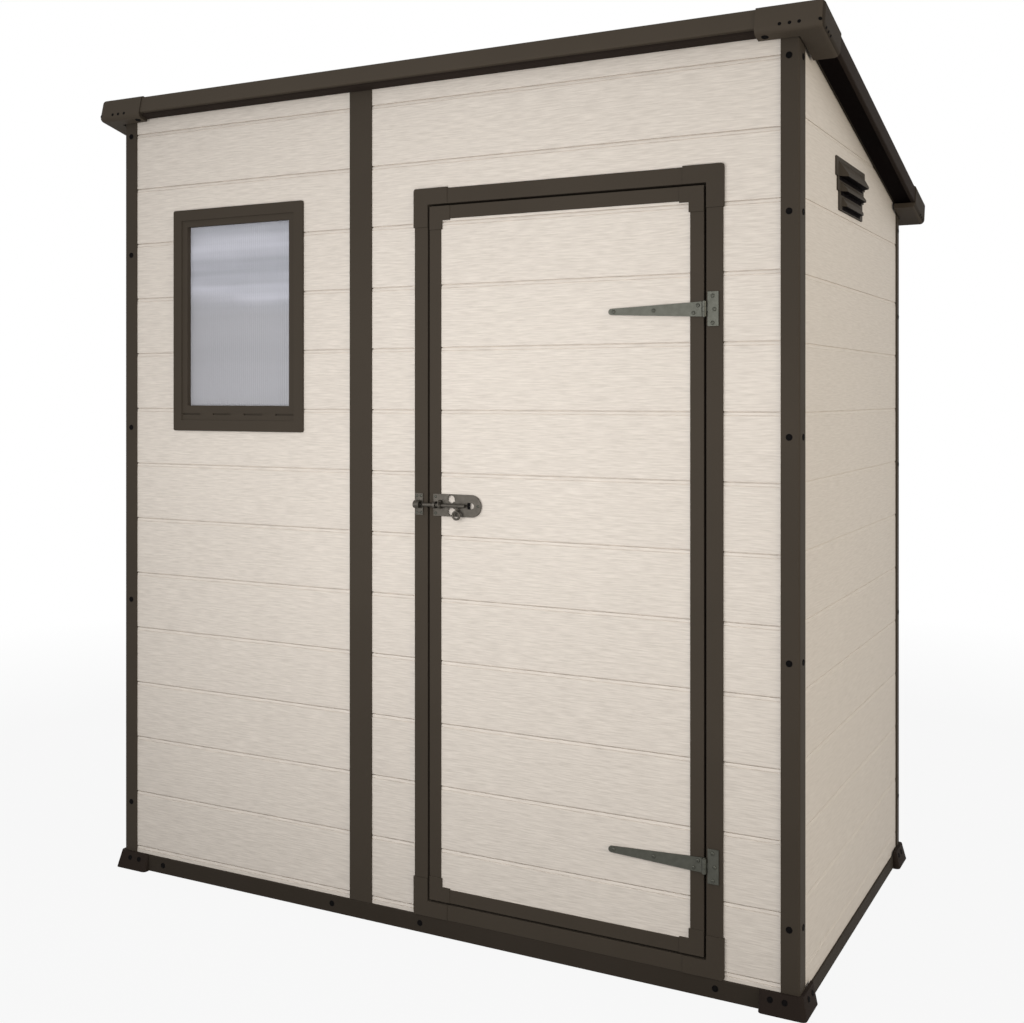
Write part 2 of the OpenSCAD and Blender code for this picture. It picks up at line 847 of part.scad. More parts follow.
// Block with its outer corner at the origin, that corner rounded by r and the edges along it by top and low
module round_corner(r, l, h, top, low) {
    translate([r, 0, 0]) rotate([90, 0, 90]) linear_extrude(l - r) round_section(l, h, top, low);
    translate([0, l, 0]) rotate([90, 0, 0]) linear_extrude(l - r) round_section(l, h, top, low);
    translate([r, r, 0]) rotate([0, 0, 180]) rotate_extrude(angle = 90) intersection() {
        mirror([1, 0]) translate([-r, 0]) round_section(2 * r, h, top, low);
        square([r, h]);
    }
}

// Cap sleeved over the channels where they meet, its outer corner at the origin
module corner_cap(under_x, under_s) {
    inset = cap_t - fit;
    difference() {
        translate([0, 0, -cap_drop]) round_corner(cap_r, cap_l, cap_h + cap_drop, cap_top_r, cap_r);
        translate([inset, inset, inset])
        round_corner(cap_r - inset, cap_l, edge_h + 2 * fit, cap_top_r - inset, 0);
        translate([edge_top, edge_top, cap_h / 2]) cube([cap_l, cap_l, cap_h]);
        translate([under_x, under_s, -cap_drop - 1]) cube([cap_l, cap_l, cap_h / 2 + cap_drop]);
    }
}

module roof_corner_caps() {
    color(resin_brown) on_roof() both_sides() translate([-roof_w / 2, 0, 0]) {
        corner_cap(soffit_side + cap_t, soffit_front + cap_t);
        translate([0, slope_l, 0]) mirror([0, 1, 0])
        corner_cap(soffit_side + cap_t, soffit_rear + cap_t);
    }
}

// Half of the roof, to the left of the joint, with ribs down the slope
module roof_panel() {
    panel_x0 = -edge_x1 + edge_t + fit;
    panel_x1 = -joint_web / 2 - fit;
    rib_s0 = edge_s0 + edge_top + fit;
    rib_s1 = edge_s1 - edge_top - fit;
    rib_x0 = -edge_x1 + edge_top;
    pitch_x = (-strip_w / 2 - rib_x0) / rib_n;
    on_roof() {
        block([panel_x0, edge_s0 + edge_t + fit, seat_n],
              [panel_x1, edge_s1 - edge_t - fit, panel_top_n]);
        for (i = [0 : rib_n - 1])
            translate([rib_x0 + (i + 0.5) * pitch_x, rib_s1, panel_top_n]) rotate([90, 0, 0])
            linear_extrude(rib_s1 - rib_s0) polygon([
                [-rib_w / 2, 0], [rib_w / 2, 0], [rib_w / 2 - rib_h, rib_h], [rib_h - rib_w / 2, rib_h]]);
    }
}

module roof_panel_left() { color(resin_brown) roof_panel(); }
module roof_panel_right() { color(resin_brown) mirror([1, 0, 0]) roof_panel(); }

module roof_joint_strip() {
    strip_s0 = edge_s0 + edge_top + fit;
    strip_s1 = edge_s1 - edge_top - fit;
    color(resin_brown) on_roof() {
        block([-strip_w / 2, strip_s0, panel_top_n], [strip_w / 2, strip_s1, panel_top_n + edge_t]);
        block([-joint_web / 2, strip_s0, seat_n], [joint_web / 2, strip_s1, panel_top_n + 1]);
    }
}

// Channel under the joint, open at the bottom, from the front wall to the back
module roof_beam() {
    web = 2;
    color(zinc) intersection() {
        on_roof() translate([0, 0, seat_n - fit]) difference() {
            block([-beam_w / 2, 0, -beam_h], [beam_w / 2, slope_l, 0]);
            block([web - beam_w / 2, -1, -beam_h - 1], [beam_w / 2 - web, slope_l + 1, -web]);
        }
        block([-beam_w, wall_y0 + wall_t, 0], [beam_w, y1 - mid_post_d, far]);
    }
}

floor_panel();
front_rail();
rear_rail();
side_rails();
corner_feet();
front_post_left();
front_post_right();
rear_post_left();
rear_post_right();
front_middle_post();
rear_middle_post();
window_wall();
latch_side_wall();
hinge_side_wall();
over_door_wall();
left_wall();
right_wall();
rear_wall_left();
rear_wall_right();
window_frame();
window_pane();
wall_vents();
latch_jamb();
hinge_jamb();
door_head();
door_threshold();
surround_corners();
hinge_plates();
latch_keeper();
roof_panel_left();
roof_panel_right();
roof_joint_strip();
roof_beam();
roof_front_edge();
roof_rear_edge();
roof_side_edges();
roof_corner_caps();
door_panel();
latch_stile();
hinge_stile();
door_rails();
door_corners();
hinge_straps();
latch_plate();
latch_bolt();
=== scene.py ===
import json
import math

import bmesh
import bpy
from mathutils import Matrix, Vector


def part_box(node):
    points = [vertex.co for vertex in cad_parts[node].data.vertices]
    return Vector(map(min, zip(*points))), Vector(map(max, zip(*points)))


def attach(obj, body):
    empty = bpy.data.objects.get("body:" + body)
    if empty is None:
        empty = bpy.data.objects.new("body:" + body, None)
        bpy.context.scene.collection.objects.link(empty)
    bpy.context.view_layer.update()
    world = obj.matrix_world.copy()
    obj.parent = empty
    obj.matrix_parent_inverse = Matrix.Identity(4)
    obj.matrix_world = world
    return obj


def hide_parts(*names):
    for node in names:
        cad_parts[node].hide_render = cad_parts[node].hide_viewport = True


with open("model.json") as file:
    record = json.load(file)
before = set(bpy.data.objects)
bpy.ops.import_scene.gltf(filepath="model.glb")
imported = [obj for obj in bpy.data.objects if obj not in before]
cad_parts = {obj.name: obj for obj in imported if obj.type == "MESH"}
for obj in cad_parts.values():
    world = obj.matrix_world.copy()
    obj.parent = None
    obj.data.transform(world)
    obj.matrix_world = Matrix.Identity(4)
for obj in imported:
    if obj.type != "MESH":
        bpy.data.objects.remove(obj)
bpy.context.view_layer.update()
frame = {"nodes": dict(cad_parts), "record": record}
scene = bpy.context.scene
scene.view_settings.view_transform = "Standard"
mm = 0.001
fullTurn = 2 * math.pi
print("frame loaded with", len(frame["nodes"]), "nodes")


# camera as in the photo: level, with the horizon above the middle of the picture
photoCamera = {"place": (1.528, -2.947, 1.198), "turn": 27.66, "lens": 45.27, "sensor": 36, "shift": -0.1134}

cameraData = bpy.data.cameras.new("photoCamera")
cameraData.sensor_width = photoCamera["sensor"]
cameraData.lens = photoCamera["lens"]
cameraData.shift_y = photoCamera["shift"]
camera = bpy.data.objects.new("photoCamera", cameraData)
camera.location = photoCamera["place"]
camera.rotation_euler = (math.radians(90), 0, math.radians(photoCamera["turn"]))
scene.collection.objects.link(camera)
scene.camera = camera


# small helpers for node trees
def addNode(tree, kind, **settings):
    node = tree.nodes.new(kind)
    for key, value in settings.items():
        setattr(node, key, value)
    return node


# links a socket, or sets a plain value
def plug(tree, source, target):
    if hasattr(source, "is_output"):
        tree.links.new(source, target)
    else:
        target.default_value = source


def calc(tree, operation, *values):
    node = addNode(tree, "ShaderNodeMath", operation=operation)
    for socket, value in zip(node.inputs, values):
        plug(tree, value, socket)
    return node.outputs[0]


def plus(tree, first, second):
    return calc(tree, "ADD", first, second)


def minus(tree, first, second):
    return calc(tree, "SUBTRACT", first, second)


def times(tree, first, second):
    return calc(tree, "MULTIPLY", first, second)


# adds two values by their shares
def blend(tree, first, second, shares):
    return plus(tree, times(tree, first, shares[0]), times(tree, second, shares[1]))


def vector(tree, x, y, z):
    node = addNode(tree, "ShaderNodeCombineXYZ")
    for socket, value in zip(node.inputs, (x, y, z)):
        plug(tree, value, socket)
    return node.outputs[0]


def split(tree, source):
    node = addNode(tree, "ShaderNodeSeparateXYZ")
    plug(tree, source, node.inputs[0])
    return node.outputs


def remap(tree, value, low, high, toLow, toHigh):
    node = addNode(tree, "ShaderNodeMapRange")
    labels = ("Value", "From Min", "From Max", "To Min", "To Max")
    for label, item in zip(labels, (value, low, high, toLow, toHigh)):
        plug(tree, item, node.inputs[label])
    return node.outputs["Result"]


# stretches a span of values to 0 and 1
def stretch(tree, value, span):
    return remap(tree, value, *span, 0.0, 1.0)


noiseMiddle = 0.5


def noise(tree, place, scale, detail, roughness):
    node = addNode(tree, "ShaderNodeTexNoise")
    for label, item in (("Vector", place), ("Scale", scale), ("Detail", detail), ("Roughness", roughness)):
        plug(tree, item, node.inputs[label])
    return node.outputs["Fac"]


# numbers of the sockets that belong to a mix node's colour kind, and to a random node's float kind
colourMix = {"factor": 0, "first": 6, "second": 7, "result": 2}
randomFloat = {"highest": 3, "result": 1}


def mixColour(tree, factor, first, second):
    node = addNode(tree, "ShaderNodeMix", data_type="RGBA")
    plug(tree, factor, node.inputs[colourMix["factor"]])
    for label, colour in (("first", first), ("second", second)):
        plug(tree, (*colour, 1) if isinstance(colour, tuple) else colour, node.inputs[colourMix[label]])
    return node.outputs[colourMix["result"]]


def objectPlace(tree):
    return addNode(tree, "ShaderNodeTexCoord").outputs["Object"]


# 1 for what is seen straight, mirrored or through the pane, 0 for light that falls on things
def seenDirectly(tree):
    path = addNode(tree, "ShaderNodeLightPath").outputs
    bounced = calc(tree, "MAXIMUM", path["Is Glossy Ray"], path["Is Transmission Ray"])
    return calc(tree, "MAXIMUM", path["Is Camera Ray"], bounced)


def setInputs(node, values):
    for label, value in values.items():
        node.inputs[label].default_value = value


# inputs and outputs are labels by kind of socket
def newGroup(name, treeKind, inputs, outputs):
    tree = bpy.data.node_groups.new(name, treeKind)
    for direction, sockets in (("INPUT", inputs), ("OUTPUT", outputs)):
        for kind, labels in sockets.items():
            for label in labels:
                tree.interface.new_socket(label, in_out=direction, socket_type="NodeSocket" + kind)
    return tree, tree.nodes.new("NodeGroupInput"), tree.nodes.new("NodeGroupOutput")


def useGroup(tree, group, values):
    node = addNode(tree, "ShaderNodeGroup", node_tree=group)
    setInputs(node, values)
    return node.outputs


# floor, world and lamps
studio = {"sky": 0.585, "floorHalf": 9.0, "floorDrop": 0.001, "floorWhite": 0.92, "floorTone": 0.2,
          "fadeFrom": 2.2, "fadeTo": 4.2}
lamps = {
    "frontLamp": {"place": (0.1, -1.9, 1.13), "aim": (0.1, -0.5, 1.13), "size": (2.0, 1.05),
                  "watts": 18, "colour": (1, 1, 1)},
    "sideLamp": {"place": (3.6, -1.2, 1.3), "aim": (0.87, 0.0, 1.1), "size": (1.6, 1.6),
                 "watts": 33, "colour": (1, 0.91, 0.75)},
    "backLamp": {"place": (-2.6, 2.9, 2.8), "aim": (0, 0.4, 1.0), "size": (2.0, 2.0),
                 "watts": 34, "colour": (1, 1, 1)},
}


def makeSky():
    world = bpy.data.worlds.new("studioSky")
    scene.world = world
    world.use_nodes = True
    tree = world.node_tree
    tree.nodes.clear()
    sky = addNode(tree, "ShaderNodeBackground")
    sky.inputs["Color"].default_value = (1, 1, 1, 1)
    plug(tree, remap(tree, seenDirectly(tree), 0.0, 1.0, studio["sky"], 1.0), sky.inputs["Strength"])
    out = addNode(tree, "ShaderNodeOutputWorld")
    plug(tree, sky.outputs[0], out.inputs["Surface"])


# grey for the light that it throws back, but seen as white
def makeFloorMaterial():
    material = bpy.data.materials.new("paleFloor")
    material.use_nodes = True
    tree = material.node_tree
    tree.nodes.clear()
    distance = addNode(tree, "ShaderNodeVectorMath", operation="LENGTH")
    plug(tree, objectPlace(tree), distance.inputs[0])
    fade = (studio["fadeFrom"], studio["fadeTo"], studio["floorWhite"], 1.0)
    white = remap(tree, distance.outputs["Value"], *fade)
    paint = addNode(tree, "ShaderNodeBsdfDiffuse")
    paint.inputs["Color"].default_value = (studio["floorTone"],) * 3 + (1,)
    glow = addNode(tree, "ShaderNodeEmission")
    mix = addNode(tree, "ShaderNodeMixShader")
    plug(tree, times(tree, white, seenDirectly(tree)), mix.inputs[0])
    plug(tree, paint.outputs[0], mix.inputs[1])
    plug(tree, glow.outputs[0], mix.inputs[2])
    out = addNode(tree, "ShaderNodeOutputMaterial")
    plug(tree, mix.outputs[0], out.inputs["Surface"])
    return material


def makeFloor():
    half, drop = studio["floorHalf"], studio["floorDrop"]
    corners = [(x * half, y * half, -drop) for x, y in ((-1, -1), (1, -1), (1, 1), (-1, 1))]
    mesh = bpy.data.meshes.new("studioFloor")
    mesh.from_pydata(corners, [], [(0, 1, 2, 3)])
    mesh.materials.append(makeFloorMaterial())
    floor = bpy.data.objects.new("studioFloor", mesh)
    scene.collection.objects.link(floor)


def makeLamp(name, lamp):
    data = bpy.data.lights.new(name, "AREA")
    data.shape = "RECTANGLE"
    data.size, data.size_y = lamp["size"]
    data.energy = lamp["watts"]
    data.color = lamp["colour"]
    obj = bpy.data.objects.new(name, data)
    obj.location = lamp["place"]
    obj.rotation_euler = (Vector(lamp["aim"]) - Vector(lamp["place"])).to_track_quat("-Z", "Y").to_euler()
    obj.visible_camera = False
    scene.collection.objects.link(obj)


makeSky()
makeFloor()
for name, lamp in lamps.items():
    makeLamp(name, lamp)
print("studio ready")


# wood grain of the planks: fine streaks along the wall, shifted from plank to plank
# each noise has a scale, a detail and a roughness
grain = {"along": 22.0, "across": 340.0, "shift": 2.37, "fineNoise": (1.0, 2.0, 0.6),
         "bendAlong": 3.0, "bendAcross": 16.0, "bend": 0.014, "bendNoise": (1.0, 1.0, 0.5),
         "broadAlong": 0.3, "broadAcross": 0.25, "broadNoise": (1.0, 2.0, 0.5),
         "shares": (0.85, 0.15), "streakSpan": (0.34, 0.66), "heightSpan": (0.32, 0.68)}


def makeGrainGroup():
    tree, given, result = newGroup(
        "plankGrain", "ShaderNodeTree",
        {"Float": ("First Line", "Pitch", "Along", "Across")}, {"Float": ("Streak", "Height")})
    take = given.outputs
    x, y, z = split(tree, objectPlace(tree))
    plank = calc(tree, "FLOOR", calc(tree, "DIVIDE", minus(tree, take["First Line"], z), take["Pitch"]))
    along = plus(tree, plus(tree, x, y), times(tree, plank, grain["shift"]))

    def streaks(alongScale, height, heightScale, settings):
        place = vector(tree, times(tree, along, alongScale), plank, times(tree, height, heightScale))
        return noise(tree, place, *settings)

    bend = streaks(grain["bendAlong"], z, grain["bendAcross"], grain["bendNoise"])
    across = plus(tree, z, times(tree, minus(tree, bend, noiseMiddle), grain["bend"]))
    fine = streaks(take["Along"], across, take["Across"], grain["fineNoise"])
    broad = streaks(times(tree, take["Along"], grain["broadAlong"]), across,
                    times(tree, take["Across"], grain["broadAcross"]), grain["broadNoise"])
    streak = blend(tree, fine, broad, grain["shares"])
    plug(tree, stretch(tree, streak, grain["streakSpan"]), result.inputs["Streak"])
    plug(tree, stretch(tree, fine, grain["heightSpan"]), result.inputs["Height"])
    return tree


# skin of moulded resin or plated metal: soft blotches and a fine texture, each with a detail and a roughness
skinNoise = {"Blotch": (3.0, 0.55), "Fine": (2.0, 0.5), "span": (0.3, 0.7)}


def makeSkinGroup():
    tree, given, result = newGroup(
        "mouldedSkin", "ShaderNodeTree",
        {"Float": ("Blotch Scale", "Fine Scale")}, {"Float": ("Blotch", "Fine")})
    place = objectPlace(tree)
    for kind in ("Blotch", "Fine"):
        value = noise(tree, place, given.outputs[kind + " Scale"], *skinNoise[kind])
        plug(tree, stretch(tree, value, skinNoise["span"]), result.inputs[kind])
    return tree


grainGroup = makeGrainGroup()
skinGroup = makeSkinGroup()


def newMaterial(name):
    material = bpy.data.materials.new(name)
    material.use_nodes = True
    tree = material.node_tree
    return material, tree, tree.nodes["Principled BSDF"]


def bump(tree, shader, height, strength, distance):
    node = addNode(tree, "ShaderNodeBump")
    setInputs(node, {"Strength": strength, "Distance": distance})
    plug(tree, height, node.inputs["Height"])
    plug(tree, node.outputs[0], shader.inputs["Normal"])


# planks: the first line is the highest of an even row, and the extra lines lie above that row
frontLines = {"first": 1.8594, "pitch": 0.1386, "count": 14, "extra": ()}
sideLines = {"first": 1.4366, "pitch": 0.1357, "count": 11, "extra": (1.5857, 1.7437)}
plankLook = {"dark": (0.618, 0.559, 0.497), "light": (0.777, 0.707, 0.632), "relief": 0.35}
sidePlankLook = {"dark": (0.656, 0.594, 0.528), "light": (0.739, 0.672, 0.601), "relief": 0.2}
plankSkin = {"blotch": 2.5, "shares": (0.85, 0.15), "roughness": 0.62, "sway": 0.06, "shine": 0.3,
             "height": 0.0006}


def makePlankMaterial(name, look, lines):
    material, tree, shader = newMaterial(name)
    wood = useGroup(tree, grainGroup, {"First Line": lines["first"], "Pitch": lines["pitch"],
                                       "Along": grain["along"], "Across": grain["across"]})
    skin = useGroup(tree, skinGroup, {"Blotch Scale": plankSkin["blotch"]})
    mixed = blend(tree, wood["Streak"], skin["Blotch"], plankSkin["shares"])
    plug(tree, mixColour(tree, mixed, look["dark"], look["light"]), shader.inputs["Base Color"])
    rough, smoother = plankSkin["roughness"] + plankSkin["sway"], plankSkin["roughness"] - plankSkin["sway"]
    plug(tree, remap(tree, wood["Streak"], 0.0, 1.0, rough, smoother), shader.inputs["Roughness"])
    setInputs(shader, {"Specular IOR Level": plankSkin["shine"]})
    bump(tree, shader, wood["Height"], look["relief"], plankSkin["height"])
    return material


# trim, metal and screws: noise scales, the noise that sways the roughness, and the height of the relief
trimSkin = {"blotch": 5.0, "fine": 900.0, "swayBy": "Blotch", "sway": 0.05, "height": 0.0004, "metal": 0.0}
metalSkin = {"blotch": 90.0, "fine": 1400.0, "swayBy": "Fine", "sway": 0.08, "height": 0.0002, "metal": 0.75}
screwSkin = {"blotch": 60.0, "fine": 1500.0, "swayBy": "Fine", "sway": 0.0, "height": 0.0002, "metal": 0.0}
trimLook = {"dark": (0.050, 0.040, 0.030), "light": (0.056, 0.045, 0.034),
            "roughness": 0.65, "relief": 0.12, "shine": 0.07}
# painted shade: a near-black copy of the brown resin for the side soffits, the vent hoods' downward faces
# and the dark blocks in the vents
paintedShadeLook = {"dark": (0.003, 0.002, 0.002), "light": (0.005, 0.003, 0.003),
              "roughness": 0.85, "relief": 0.1, "shine": 0.02}
# painted shade: a darker copy of the brown resin for the lower faces of the roof's edges and for the corner
# feet
paintedUndersideShadeLook = {"dark": (0.022, 0.016, 0.013), "light": (0.027, 0.020, 0.016),
                 "roughness": 0.75, "relief": 0.1, "shine": 0.04}
# painted light: a lighter copy of the brown resin for the roof's edges and caps, whose faces tilt away from
# the lamps
paintedLightEdgeLook = {"dark": (0.064, 0.051, 0.038), "light": (0.071, 0.057, 0.043),
            "roughness": 0.65, "relief": 0.12, "shine": 0.07}
# painted shade: a darker copy of the brown resin for the rails near the ground and the sideways faces of the
# roof's caps
paintedBaseShadeLook = {"dark": (0.034, 0.027, 0.020), "light": (0.039, 0.031, 0.024),
            "roughness": 0.7, "relief": 0.12, "shine": 0.05}
zincLook = {"dark": (0.062, 0.062, 0.050), "light": (0.080, 0.080, 0.066),
            "roughness": 0.44, "relief": 0.1, "shine": 0.5}
latchLook = {"dark": (0.056, 0.049, 0.040), "light": (0.080, 0.071, 0.059),
             "roughness": 0.44, "relief": 0.1, "shine": 0.5}
# near-black for the screw heads, and for the painted shadow in the padlock hole
screwAndShadeLook = {"dark": (0.002, 0.002, 0.002), "light": (0.005, 0.004, 0.004),
             "roughness": 0.7, "relief": 0.1, "shine": 0.05}


def makeSkinMaterial(name, look, skin):
    material, tree, shader = newMaterial(name)
    cover = useGroup(tree, skinGroup, {"Blotch Scale": skin["blotch"], "Fine Scale": skin["fine"]})
    plug(tree, mixColour(tree, cover["Blotch"], look["dark"], look["light"]), shader.inputs["Base Color"])
    low, high = look["roughness"] - skin["sway"], look["roughness"] + skin["sway"]
    plug(tree, remap(tree, cover[skin["swayBy"]], 0.0, 1.0, low, high), shader.inputs["Roughness"])
    setInputs(shader, {"Specular IOR Level": look["shine"], "Metallic": skin["metal"]})
    bump(tree, shader, cover["Fine"], look["relief"], skin["height"])
    return material


# milky pane with a painted reflection of the sky: blurred bands in its upper part that fade into an even
# grey
# each cut is the place in the noise across the pane
paneLook = {
    "dark": (0.355, 0.362, 0.400), "light": (0.590, 0.592, 0.655), "even": (0.385, 0.382, 0.405),
    "bright": 1.563, "pitch": 0.109, "fadeLow": 1.385, "fadeHigh": 1.46, "fadeLeast": 0.1,
    "warpAlong": 3.5, "warpCut": 4.3, "warpUp": 9.0, "warp": 0.09,
    "streakAlong": 2.0, "streakCut": 1.7, "streakUp": 55.0, "streakSpan": (0.3, 0.7),
    "noise": (1.0, 2.0, 0.5), "shares": (0.62, 0.38), "roughness": 0.32, "clear": 0.08, "shine": 0.4,
}


def makePaneMaterial():
    material, tree, shader = newMaterial("milkyPane")
    place = split(tree, objectPlace(tree))
    x, z = place["X"], place["Z"]

    def clouds(kind):
        along, up = times(tree, x, paneLook[kind + "Along"]), times(tree, z, paneLook[kind + "Up"])
        return noise(tree, vector(tree, along, paneLook[kind + "Cut"], up), *paneLook["noise"])

    # painted reflection: bent bands of lighter and darker grey, brightest at the reflection's peak, fading
    # into the even grey lower down
    bent = plus(tree, z, times(tree, minus(tree, clouds("warp"), noiseMiddle), paneLook["warp"]))
    turn = times(tree, minus(tree, bent, paneLook["bright"]), fullTurn / paneLook["pitch"])
    wave = stretch(tree, calc(tree, "COSINE", turn), (-1.0, 1.0))
    streak = stretch(tree, clouds("streak"), paneLook["streakSpan"])
    reflectionBand = blend(tree, wave, streak, paneLook["shares"])
    paintedReflection = mixColour(tree, reflectionBand, paneLook["dark"], paneLook["light"])
    fade = remap(tree, bent, paneLook["fadeLow"], paneLook["fadeHigh"], paneLook["fadeLeast"], 1.0)
    plug(tree, mixColour(tree, fade, paneLook["even"], paintedReflection), shader.inputs["Base Color"])
    setInputs(shader, {"Roughness": paneLook["roughness"], "Transmission Weight": paneLook["clear"],
                       "Specular IOR Level": paneLook["shine"]})
    return material


frontPlank = makePlankMaterial("beigePlankFront", plankLook, frontLines)
sidePlank = makePlankMaterial("beigePlankSide", sidePlankLook, sideLines)
brownResin = makeSkinMaterial("brownResin", trimLook, trimSkin)
# copies of the brown resin for painted shade, painted underside shade, painted light and painted shade near
# the ground
soffitResin = makeSkinMaterial("soffitResin", paintedShadeLook, trimSkin)
undersideResin = makeSkinMaterial("undersideResin", paintedUndersideShadeLook, trimSkin)
edgeResin = makeSkinMaterial("edgeResin", paintedLightEdgeLook, trimSkin)
baseResin = makeSkinMaterial("baseResin", paintedBaseShadeLook, trimSkin)
zincSteel = makeSkinMaterial("zincSteel", zincLook, metalSkin)
latchSteel = makeSkinMaterial("latchSteel", latchLook, metalSkin)
blackScrew = makeSkinMaterial("blackScrew", screwAndShadeLook, screwSkin)
milkyPane = makePaneMaterial()
print("materials ready")


# copies of the solids: merged, with flat faces joined
copyLimits = {"merge": 1e-5, "flatAngle": 0.4, "cutMerge": 1e-6}


def copyNode(nodeName):
    bm = bmesh.new()
    bm.from_mesh(frame["nodes"][nodeName].data)
    bmesh.ops.remove_doubles(bm, verts=bm.verts, dist=copyLimits["merge"])
    bmesh.ops.dissolve_limit(bm, angle_limit=math.radians(copyLimits["flatAngle"]),
                             use_dissolve_boundaries=False, verts=bm.verts, edges=bm.edges)
    return bm


def cutAcross(bm, place, normal):
    everything = bm.verts[:] + bm.edges[:] + bm.faces[:]
    bmesh.ops.bisect_plane(bm, geom=everything, dist=copyLimits["cutMerge"], plane_co=place, plane_no=normal)


def toObject(bm, name, material):
    mesh = bpy.data.meshes.new(name)
    bm.to_mesh(mesh)
    bm.free()
    mesh.materials.clear()
    mesh.materials.append(material)
    for polygon in mesh.polygons:
        polygon.material_index = 0
    obj = bpy.data.objects.new(name, mesh)
    scene.collection.objects.link(obj)
    return obj


# adds materials after a piece's own, which is number 0, and picks a number for each face
def paintFaces(obj, materials, pick):
    for material in materials:
        obj.data.materials.append(material)
    for polygon in obj.data.polygons:
        polygon.material_index = pick(polygon)


def smooth(obj, angle):
    obj.data.shade_smooth()
    obj.data.set_sharp_from_angle(angle=math.radians(angle))


def pieceName(nodeName):
    words = nodeName.split("_")
    return words[0] + "".join(word.capitalize() for word in words[1:])


def settle(obj, body, slot, *nodes):
    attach(obj, body)
    if nodes:
        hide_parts(*nodes)


def addModifier(obj, tree, values):
    modifier = obj.modifiers.new(tree.name, "NODES")
    modifier.node_group = tree
    for item in tree.interface.items_tree:
        if item.item_type == "SOCKET" and item.in_out == "INPUT" and item.name in values:
            modifier[item.identifier] = values[item.name]


def applyNodes(obj):
    depsgraph = bpy.context.evaluated_depsgraph_get()
    mesh = bpy.data.meshes.new_from_object(obj.evaluated_get(depsgraph), depsgraph=depsgraph)
    mesh.name = obj.name
    obj.modifiers.clear()
    obj.data = mesh


# helpers for geometry nodes that move, place and paint
faceSlack = 0.0002


# 1 for points on the face, 0 for others
def nearFace(tree, value, face):
    gap = calc(tree, "ABSOLUTE", minus(tree, value, face))
    return calc(tree, "LESS_THAN", gap, faceSlack)


def movePoints(tree, given, offset):
    move = addNode(tree, "GeometryNodeSetPosition")
    plug(tree, given.outputs["Geometry"], move.inputs["Geometry"])
    plug(tree, offset, move.inputs["Offset"])
    return move.outputs[0]


def finishTree(tree, given, result, geometry):
    realize = addNode(tree, "GeometryNodeRealizeInstances")
    plug(tree, geometry, realize.inputs[0])
    paint = addNode(tree, "GeometryNodeSetMaterial")
    plug(tree, realize.outputs[0], paint.inputs["Geometry"])
    plug(tree, given.outputs["Material"], paint.inputs["Material"])
    plug(tree, paint.outputs[0], result.inputs[0])


# plank relief: a slot under each plank, a slope out to the next one's face, and a finer groove at its end
grooveRamp = 0.0002
frontGroove = {"Slot": 0.0021, "Depth": 0.0044, "Slope Depth": 0.0014,
               "Second": 0.0078, "Second Slot": 0.0012, "Second Depth": 0.0015}
sideGroove = {"Slot": 0.0018, "Depth": 0.0017, "Slope Depth": 0.0008,
              "Second": 0.0078, "Second Slot": 0.0010, "Second Depth": 0.0005}


def makeReliefTree():
    tree, given, result = newGroup(
        "plankRelief", "GeometryNodeTree",
        {"Geometry": ("Geometry",), "Float": ("First Line", "Pitch", "Count", *frontGroove, "Face"),
         "Vector": ("Outward",), "Material": ("Material",)},
        {"Geometry": ("Geometry",)})
    take = given.outputs
    position = addNode(tree, "GeometryNodeInputPosition").outputs[0]
    below = calc(tree, "DIVIDE", minus(tree, take["First Line"], split(tree, position)["Z"]), take["Pitch"])
    under = times(tree, calc(tree, "FRACT", below), take["Pitch"])
    started = calc(tree, "GREATER_THAN", below, 0.0)
    counted = times(tree, started, calc(tree, "LESS_THAN", below, take["Count"]))
    inSlot = calc(tree, "LESS_THAN", under, take["Slot"])
    pastSecond = calc(tree, "GREATER_THAN", under, take["Second"])
    secondEnd = plus(tree, take["Second"], take["Second Slot"])
    inSecond = times(tree, pastSecond, calc(tree, "LESS_THAN", under, secondEnd))
    onSlope = minus(tree, minus(tree, 1.0, inSlot), pastSecond)
    slope = remap(tree, under, take["Slot"], take["Second"], take["Slope Depth"], 0.0)
    depth = plus(tree, times(tree, inSlot, take["Depth"]), times(tree, onSlope, slope))
    depth = plus(tree, depth, times(tree, inSecond, take["Second Depth"]))
    out = addNode(tree, "ShaderNodeVectorMath", operation="DOT_PRODUCT")
    plug(tree, position, out.inputs[0])
    plug(tree, take["Outward"], out.inputs[1])
    grooved = times(tree, nearFace(tree, out.outputs["Value"], take["Face"]), counted)
    shift = addNode(tree, "ShaderNodeVectorMath", operation="SCALE")
    plug(tree, take["Outward"], shift.inputs[0])
    plug(tree, times(tree, times(tree, depth, grooved), -1.0), shift.inputs["Scale"])
    finishTree(tree, given, result, movePoints(tree, given, shift.outputs[0]))
    return tree


reliefTree = makeReliefTree()


def plankWall(nodeName, outward, lines, groove, material, body):
    bm = copyNode(nodeName)
    low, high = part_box(nodeName)
    face = max(outward.dot(low), outward.dot(high))
    runs = [(lines["first"], lines["count"])] + [(height, 1) for height in lines["extra"]]
    edges = (0, groove["Slot"], groove["Second"], groove["Second"] + groove["Second Slot"])
    ramps = (grooveRamp, -grooveRamp)
    for first, count in runs:
        for i in range(count):
            for cut in [first - i * lines["pitch"] - edge + ramp for edge in edges for ramp in ramps]:
                if low.z < cut < high.z:
                    cutAcross(bm, (0, 0, cut), (0, 0, 1))
    obj = toObject(bm, pieceName(nodeName), material)
    for first, count in runs:
        addModifier(obj, reliefTree, {
            **groove, "First Line": first, "Pitch": lines["pitch"], "Count": float(count),
            "Outward": tuple(outward), "Face": face, "Material": material})
    applyNodes(obj)
    settle(obj, body, "beige_resin", nodeName)


